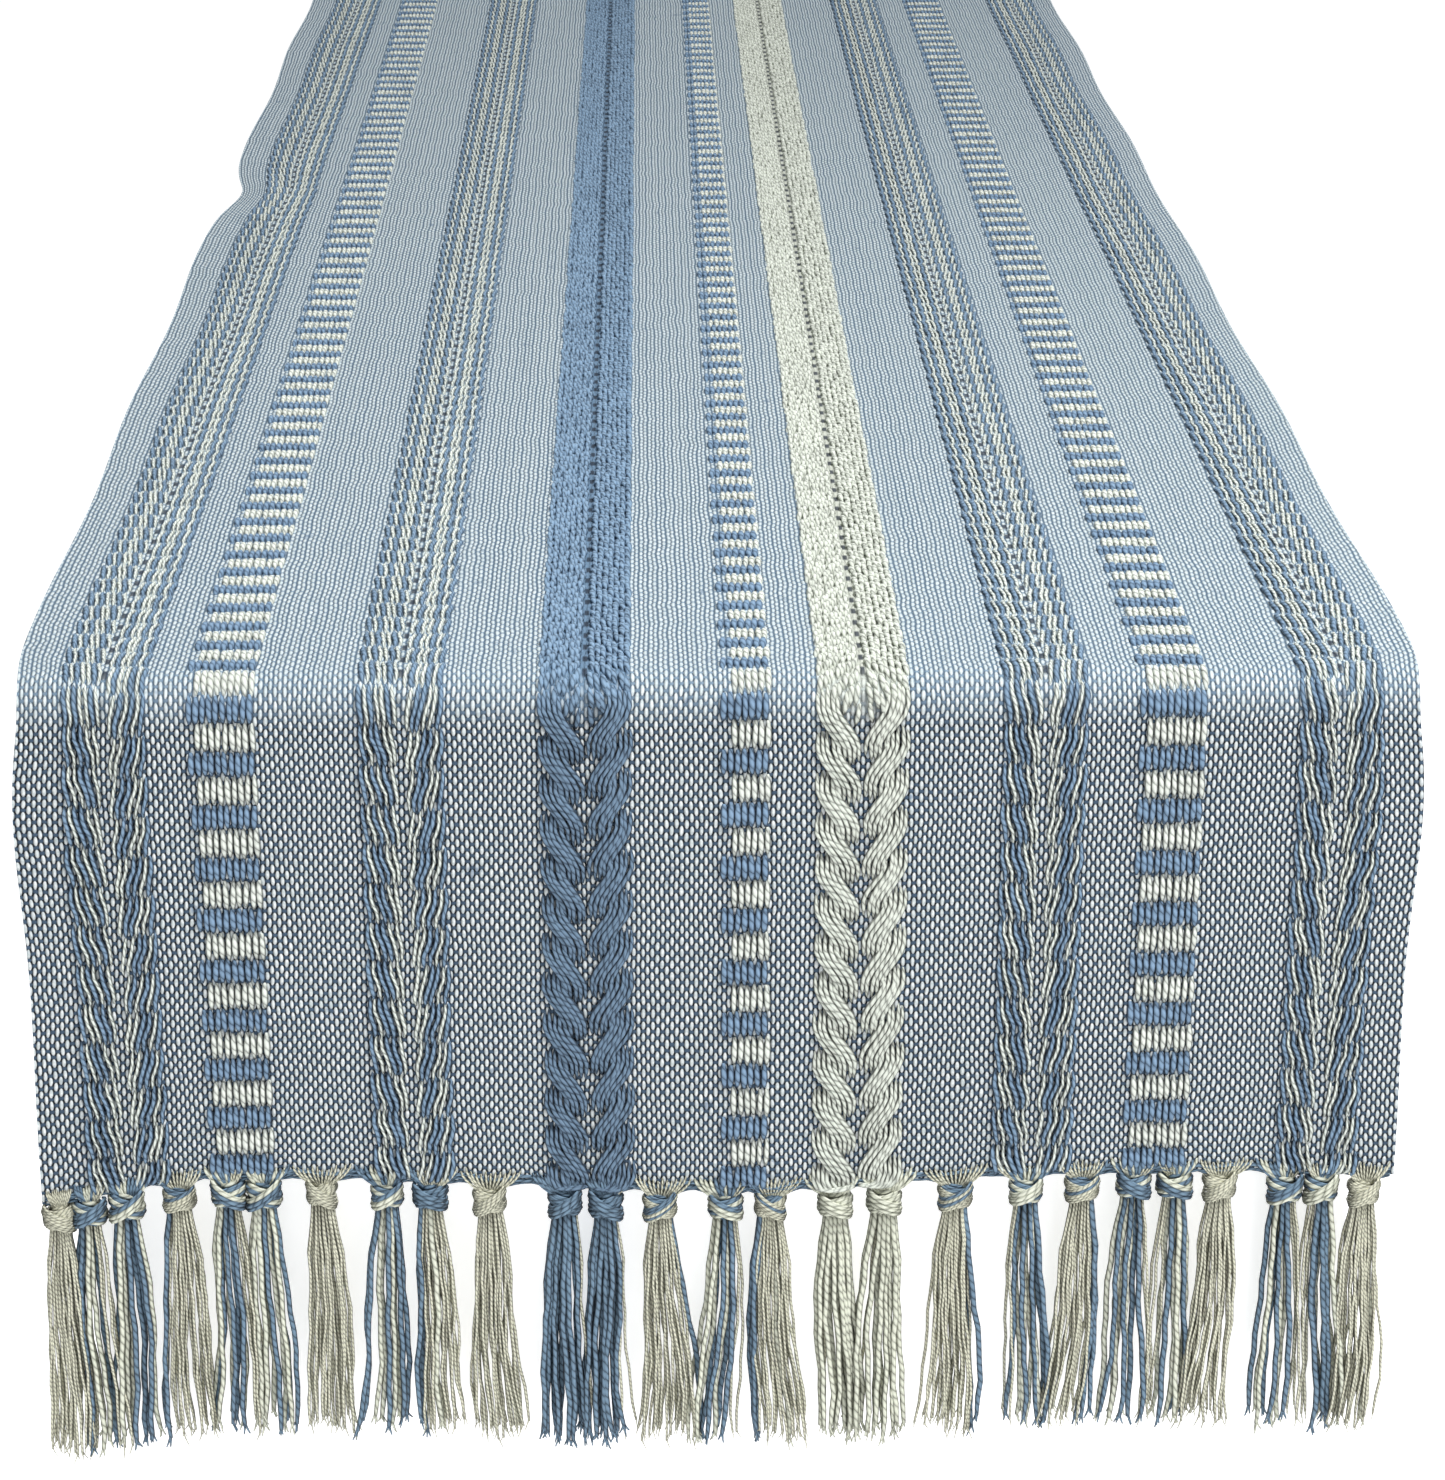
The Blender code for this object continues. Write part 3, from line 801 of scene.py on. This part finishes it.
def knot(x, z, side, order):
    """A ball of yarn: turns that slant one way, and a band of yarns that crosses over them."""
    yarns = []
    thick = [material for material in order if material != FINE]
    main = FINE if len(thick) < 5 else max(set(thick), key=thick.count)
    mixed = min(thick.count(BLUE), thick.count(CREAM)) > 2
    other = BLUE if BLUE in order else main
    if mixed and main == BLUE:
        other = CREAM
    lean = 1 if rng.random() < 0.5 else -1
    turn = np.linspace(0, 2 * math.pi, 15)
    around = np.stack([np.cos(turn), np.sin(turn) * 0.92])
    size = rng.uniform(0.92, 1.06)
    slope = rng.uniform(0.45, 0.75) * lean
    thread = KNOT_FINE_THREAD if main == FINE else KNOT_THICK_THREAD
    count = 10 if main == FINE else 6
    for number, level in enumerate(np.linspace(-0.92, 0.92, count)):
        material = other if (number % 2 if mixed else number / count > 0.68) else main
        wide = (KNOT_WIDE - 0.0007) * size * math.sqrt(1 - level ** 2 * 0.90)
        points = np.stack([
            x + around[0] * wide,
            np.full(len(turn), side * DROP_Y) + side * around[1] * wide * 0.9,
            z + level * KNOT_TALL * size * 0.82 + slope * around[0] * wide * (0.55 - 0.2 * level),
        ], axis=1)
        yarns.append((points, np.full(len(turn), thread), material))
    # The crossing band comes over the front of the ball and tucks in at both sides.
    sweep = np.linspace(-BAND_REACH, BAND_REACH, 13)
    tuck = 1 - 0.22 * np.abs(sweep / BAND_REACH) ** 4
    band = 3 if main != FINE else 5
    for number in range(band):
        shift = (number - (band - 1) / 2) * thread * 1.7
        wide = KNOT_WIDE * size * (1.03 - 0.05 * abs(number - (band - 1) / 2)) * tuck
        points = np.stack([
            x + np.sin(sweep) * wide * 0.94,
            side * (DROP_Y + np.cos(sweep) * wide * 0.94 + 0.0002),
            z + shift - slope * np.sin(sweep) * wide * 0.9,
        ], axis=1)
        radii = thread * (0.45 + 0.55 * np.cos(sweep / BAND_REACH * math.pi / 2) ** 0.5)
        yarns.append((points, radii, other if rng.random() < (0.6 if mixed else 0.3) else main))
    return yarns


def skirt(x, z, side, order):
    """The loose yarns under a knot, each with frayed fibres at its end."""
    yarns = []
    count = len(order)
    reach = rng.uniform(*SKIRT_REACHES)
    lean = rng.uniform(-0.0030, 0.0030)
    t = np.linspace(0, 1, 13)
    # Yarns that hang beside each other share their bends.
    bend = 0.0011 * np.sin(t * rng.uniform(4, 7) + rng.uniform(0, 6)) * t
    for place, material in enumerate(order):
        layer = (place * 2 % 3) / 1.5
        share = (place + 0.5) / count * 2 - 1 + rng.uniform(-0.08, 0.08)
        radius = radius_of(material) * rng.uniform(0.92, 1.08)
        stray = STRAY_REACH if rng.random() < STRAY_SHARE else 1.0
        widening = reach * stray - SKIRT_NECK - SKIRT_FLARE
        spread = SKIRT_NECK + SKIRT_FLARE * smooth(t * 4) + widening * t ** 1.1
        across = x + share * spread + lean * t ** 1.4 + bend
        own = rng.uniform(4, 9)
        wander = 0.0007 * np.sin(t * own + rng.uniform(0, 6)) * t ** 0.7
        crimp = 0.00025 * np.sin(t * rng.uniform(22, 30) + rng.uniform(0, 6)) * smooth(t * 4)
        depth = (layer - 0.35) * 0.0017 + rng.uniform(-0.0006, 0.0006)
        depth = depth * (0.7 + 0.9 * t) + wander * 0.8
        long = SKIRT_LONG * rng.uniform(0.94, 1.02)
        down = z - SKIRT_TOP - (long + 0.0018) * t
        points = np.stack([
            across + wander + crimp, side * (DROP_Y + depth + 0.0004), down
        ], axis=1)
        radii = radius * np.where(t < 0.06, 0.85, 1) * np.where(t > 0.97, 0.75, 1)
        yarns.append((points, radii, material))
        tail = np.linspace(0, 1, 4)
        for fibre in range(3 if material != FINE else 1):
            away = rng.uniform(-1, 1, 2) * (0.0016, 0.0010)
            fray = rng.uniform(*FRAY_LENGTHS)
            points = np.stack([
                across[-1] + wander[-1] + crimp[-1] + away[0] * tail ** 1.3,
                side * (DROP_Y + depth[-1] + 0.0004 + away[1] * tail),
                down[-1] + 0.0009 - fray * tail,
            ], axis=1)
            yarns.append((points, radius * (0.55 - 0.33 * tail), material))
    return yarns


groups = {}
for number, tassel in enumerate(TASSELS):
    groups.setdefault(tassel[0], []).append(number)
for end, side in ENDS:
    for group, members in groups.items():
        yarns = []
        for number in members:
            x = knots_x[number]
            z = hem_low(x, side) - KNOT_DEPTH + rng.uniform(-0.0004, 0.0004)
            yarns += knot(x, z, side, orders[number]) + skirt(x, z, side, orders[number])
        piece = yarn_piece(f"{end}_{group}_yarns", yarns, 6, *FRINGE_YARNS)
        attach(piece, f"{end}_{group}_body")
        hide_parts(f"{end}_{group}")
        on_cloth[end].append(piece)

# ---------------------------------------------------------------------------------------------
# The white plinth and floor that the runner is shown on, painted matt, the soft studio light and
# the camera. The plinth is a little narrower than the runner, so that both drops show from the
# side. Both glow weakly, which keeps them free of shadow.

PLINTH = (0.180, 0.7615, 0.72)  # half its width, half its length, and its height
PLINTH_EDGE = 0.0075
PLINTH_GAP = 0.0002  # under the cloth
PLINTH_GLOW = 0.58
FLOOR_REACH = 5.0
FLOOR_GLOW = 0.74


def white_paint(name, glow):
    finish = Finish(name)
    place = finish.node("TexCoord", {}, {}).out("Object")
    grain = finish.noise(place, 300, 2)
    bright, dull = (0.93, 0.93, 0.935, 1), (0.916, 0.916, 0.921, 1)
    shade = finish.mix(grain * 0.5, bright, dull)
    finish.surface(
        Base_Color=shade, Roughness=0.9, Emission_Color=(1, 1, 1, 1), Emission_Strength=glow)
    return finish.material


bm = bmesh.new()
bmesh.ops.create_cube(bm, size=2)
for vertex in bm.verts:
    vertex.co = (
        vertex.co.x * PLINTH[0], vertex.co.y * PLINTH[1], (vertex.co.z - 1) / 2 * PLINTH[2])
    vertex.co.z -= PLINTH_GAP
rim = [edge for edge in bm.edges if min(vertex.co.z for vertex in edge.verts) > -0.01]
bmesh.ops.bevel(
    bm, geom=rim, offset=PLINTH_EDGE, offset_type="OFFSET", segments=8, profile=0.5,
    affect="EDGES", material=-1)
mesh = bpy.data.meshes.new("plinth")
bm.to_mesh(mesh)
bm.free()
mesh.shade_smooth()
plinth = new_piece("plinth", mesh, white_paint("plinth_white", PLINTH_GLOW))
bm = bmesh.new()
bmesh.ops.create_grid(bm, x_segments=1, y_segments=1, size=FLOOR_REACH)
for vertex in bm.verts:
    vertex.co.z = -PLINTH[2]
mesh = bpy.data.meshes.new("floor")
bm.to_mesh(mesh)
bm.free()
floor = new_piece("floor", mesh, white_paint("floor_white", FLOOR_GLOW))

world = bpy.data.worlds.new("studio")
world.use_nodes = True
sky = world.node_tree.nodes["Background"]
sky.inputs["Color"].default_value = (0.96, 0.98, 1.0, 1)
sky.inputs["Strength"].default_value = 0.31
bpy.context.scene.world = world
bpy.context.scene.view_settings.view_transform = "Standard"


def soft_light(name, place, target, size, power):
    light = bpy.data.lights.new(name, "AREA")
    light.shape = "SQUARE"
    light.size = size
    light.energy = power
    made = bpy.data.objects.new(name, light)
    made.location = place
    made.rotation_euler = (Vector(target) - Vector(place)).to_track_quat("-Z", "Y").to_euler()
    bpy.context.scene.collection.objects.link(made)


soft_light("key_light", (0.45, -1.22, 1.35), (0, -0.62, 0), 0.5, 24.5)
soft_light("fill_light", (0.9, -2.3, 0.6), (0, -0.75, -0.1), 1.0, 4)
soft_light("back_light", (-0.4, 1.9, 1.5), (0, 0.7, 0), 1.2, 12)

CAMERA_PLACE = (-0.0192, -1.7120, 0.3555)
CAMERA_TURN = (1.200, 21.498, 0.067)  # degrees to the right, down, and round its own axis

camera = bpy.data.cameras.new("camera")
camera.lens = 91.32
camera.sensor_width = 36
camera.clip_start = 0.01
shot = bpy.data.objects.new("camera", camera)
shot.location = CAMERA_PLACE
yaw, pitch, roll = (math.radians(angle) for angle in CAMERA_TURN)
ahead = Vector((
    math.sin(yaw) * math.cos(pitch), math.cos(yaw) * math.cos(pitch), -math.sin(pitch)))
level = ahead.to_track_quat("-Z", "Y").to_matrix()
shot.rotation_euler = level.to_euler()
shot.rotation_euler.rotate_axis("Z", roll)
bpy.context.scene.collection.objects.link(shot)
bpy.context.scene.camera = shot
